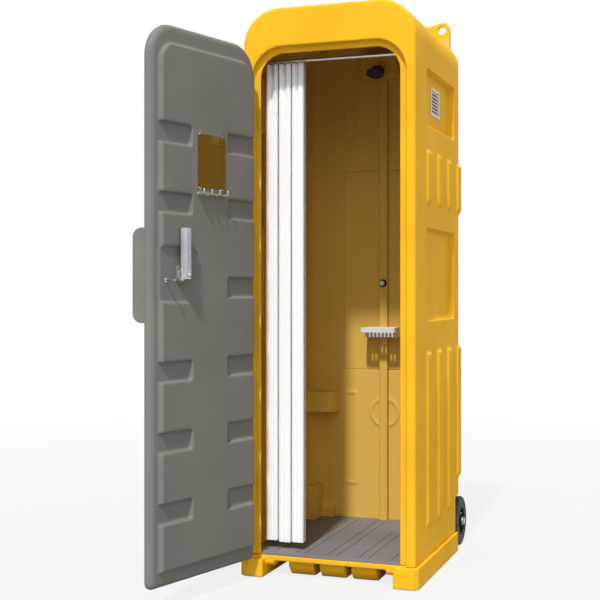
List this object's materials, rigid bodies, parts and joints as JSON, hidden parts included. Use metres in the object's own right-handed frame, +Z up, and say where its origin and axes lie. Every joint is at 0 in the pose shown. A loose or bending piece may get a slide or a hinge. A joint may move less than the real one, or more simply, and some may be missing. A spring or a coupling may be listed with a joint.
{
  "type": "portable shower cabin",
  "caption": "Moulded yellow portable shower cabin with a grey hinged door, curtain, shower, soap shelf, skid base and rear transport wheels.",
  "frame": {"origin": "on the ground under the centre of the moulded shell's footprint, on the centre runner's underside", "axes": "+Z up; -Y out of the doorway; +X to the right as seen from the front"},
  "size_m": [0.9424, 1.5916, 2.371],
  "materials": {
    "shell_plastic": "satin rotomoulded polyethylene, yellow",
    "door_plastic": "satin rotomoulded polyethylene, warm grey",
    "tray_plastic": "matt ribbed grey floor",
    "black_plastic": "moulded black plastic",
    "white_plastic": "glossy white plastic",
    "clear_plastic": "clear moulded plastic",
    "steel": "zinc plated or stainless",
    "brass": "brass and copper fittings",
    "mirror": "acrylic mirror",
    "curtain_fabric": "white polyester shower curtain",
    "tyre_rubber": "black solid rubber"
  },
  "bodies": {
    "cabin": {"cabin_shell": "shell_plastic", "base_skid": "shell_plastic", "floor_tray": "tray_plastic", "drain_grate": "steel", "waste_outlet": "black_plastic", "riser_cover": "shell_plastic", "riser_pipe": "brass", "water_inlet": "brass", "service_hatch": "shell_plastic", "hatch_screws": "steel", "valve_collar": "black_plastic", "soap_tray": "white_plastic", "soap_bracket": "white_plastic", "shower_arm": "black_plastic", "curtain_rail": "steel", "rail_sockets": "steel", "curtain_ring_1": "steel", "vent_grille_left": "white_plastic", "vent_grille_right": "white_plastic", "hinge_frame_leaves": "black_plastic", "hinge_pins": "steel", "wheel_axles": "steel", "axle_caps": "steel"},
    "door": {"door_shell": "door_plastic", "hinge_door_leaves": "black_plastic", "mirror_glass": "mirror", "mirror_clips": "steel", "hook_rail": "white_plastic", "outer_handle": "door_plastic", "latch_housing": "door_plastic", "latch_peg": "steel"},
    "latch_lever": {"latch_lever": "clear_plastic"},
    "curtain_a": {"curtain_panel_1": "curtain_fabric", "curtain_ring_2": "steel"},
    "curtain_b": {"curtain_panel_2": "curtain_fabric", "curtain_ring_3": "steel"},
    "curtain_c": {"curtain_panel_3": "curtain_fabric", "curtain_ring_4": "steel"},
    "push_button": {"push_button": "white_plastic"},
    "shower_rose": {"shower_rose": "black_plastic"},
    "wheel_left": {"tyre_left": "tyre_rubber", "wheel_hub_left": "black_plastic"},
    "wheel_right": {"tyre_right": "tyre_rubber", "wheel_hub_right": "black_plastic"}
  },
  "joints": [
    {"name": "door_swing", "type": "hinge", "parent": "cabin", "child": "door", "pos_m": [-0.322, -0.443, 1.1], "axis": [0, 0, 1], "range_deg": [-15, 105]},
    {"name": "latch_turn", "type": "hinge", "parent": "door", "child": "latch_lever", "pos_m": [-0.44753, -0.91147, 1.219], "axis": [0.9659, -0.2588, 0], "range_deg": [0, 90]},
    {"name": "curtain_draw_a", "type": "slide", "parent": "cabin", "child": "curtain_a", "axis": [1, 0, 0], "range_m": [0, 0.14]},
    {"name": "curtain_draw_b", "type": "slide", "parent": "curtain_a", "child": "curtain_b", "axis": [1, 0, 0], "range_m": [0, 0.14]},
    {"name": "curtain_draw_c", "type": "slide", "parent": "curtain_b", "child": "curtain_c", "axis": [1, 0, 0], "range_m": [0, 0.14]},
    {"name": "button_press", "type": "slide", "parent": "cabin", "child": "push_button", "axis": [0, 1, 0], "range_m": [0, 0.006], "stiffness_N_per_m": 1200},
    {"name": "rose_tilt", "type": "hinge", "parent": "cabin", "child": "shower_rose", "pos_m": [0, 0.272, 2.168], "axis": [1, 0, 0], "range_deg": [-15, 15]},
    {"name": "wheel_left_spin", "type": "hinge", "parent": "cabin", "child": "wheel_left", "pos_m": [-0.342, 0.42, 0.112], "axis": [1, 0, 0], "continuous": true},
    {"name": "wheel_right_spin", "type": "hinge", "parent": "cabin", "child": "wheel_right", "pos_m": [0.342, 0.42, 0.112], "axis": [1, 0, 0], "continuous": true}
  ],
  "couplings": [
    {"joint": "curtain_draw_b", "follows": "curtain_draw_a", "ratio": 1},
    {"joint": "curtain_draw_c", "follows": "curtain_draw_a", "ratio": 1}
  ]
}
